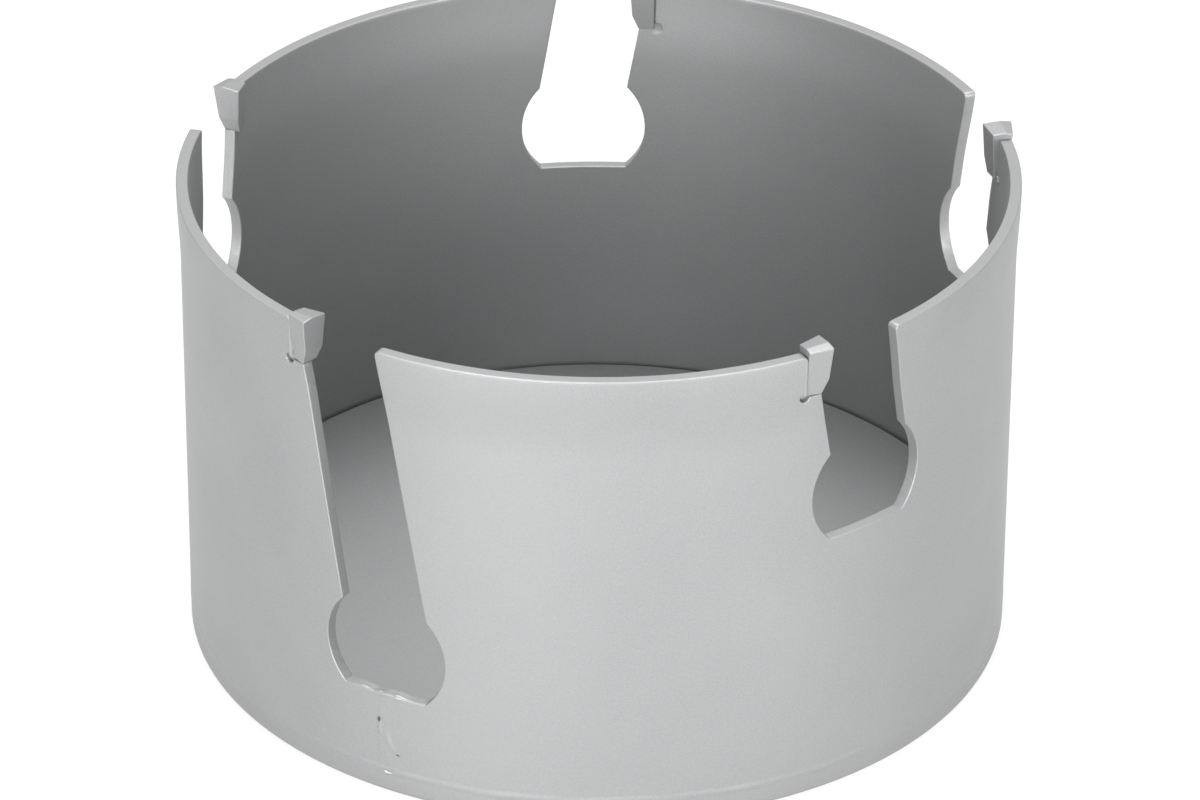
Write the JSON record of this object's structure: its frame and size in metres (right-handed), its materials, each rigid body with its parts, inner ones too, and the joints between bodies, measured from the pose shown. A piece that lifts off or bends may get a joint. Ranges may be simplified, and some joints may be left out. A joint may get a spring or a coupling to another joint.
{
  "type": "hole saw",
  "caption": "Carbide-tipped hole saw with a rolled steel cup, slanted keyhole gullets and a flat base plate for a threaded arbor",
  "frame": {"origin": "centre of the drive pin circle and of the arbor thread, on the flat back face of the base plate", "axes": "+Z along the spindle axis, from the base plate towards the teeth; -Y towards the front, with the long gullet at the front left; +X to the right"},
  "size_m": [0.1094, 0.1101, 0.066],
  "materials": {
    "satin_silver": "satin",
    "coated_carbide": "satin"
  },
  "bodies": {
    "root": {"cup_wall": "satin_silver", "base_plate": "satin_silver", "carbide_tip_1": "coated_carbide", "carbide_tip_2": "coated_carbide", "carbide_tip_3": "coated_carbide", "carbide_tip_4": "coated_carbide", "carbide_tip_5": "coated_carbide"}
  },
  "joints": []
}
